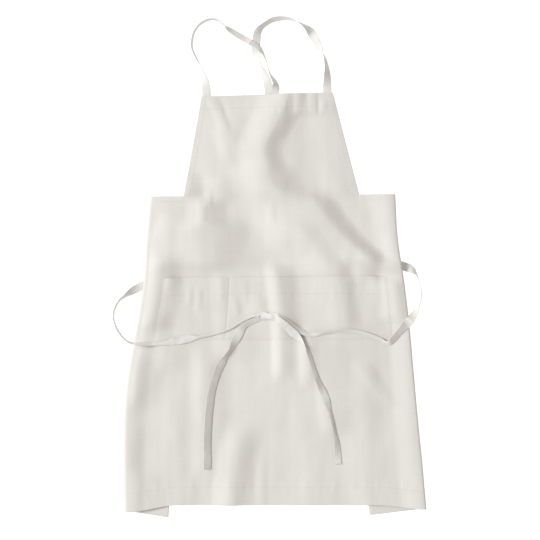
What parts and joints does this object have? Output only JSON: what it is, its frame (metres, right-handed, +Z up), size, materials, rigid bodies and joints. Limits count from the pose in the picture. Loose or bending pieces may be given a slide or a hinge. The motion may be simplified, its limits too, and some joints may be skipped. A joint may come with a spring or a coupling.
{
  "type": "cross-back apron",
  "caption": "Linen cross-back apron laid face up: bib and skirt in one cloth with its wings folded under, a wide patch pocket, crossing shoulder straps and half-knotted waist ties.",
  "frame": {"origin": "middle of the footprint on the table, at table level", "axes": "+Y from the hem towards the bib, +X to the right as seen looking down on the face, +Z up off the table"},
  "size_m": [0.6567, 1.0508, 0.0311],
  "materials": {
    "body_linen": "washed plain-weave linen, matt",
    "pocket_linen": "washed plain-weave linen, matt",
    "tape_linen": "folded and topstitched linen tape, matt"
  },
  "bodies": {
    "root": {"apron_body": "body_linen", "pocket": "pocket_linen", "strap_left": "tape_linen", "strap_right": "tape_linen", "tie_left": "tape_linen", "tie_right": "tape_linen"}
  },
  "joints": []
}
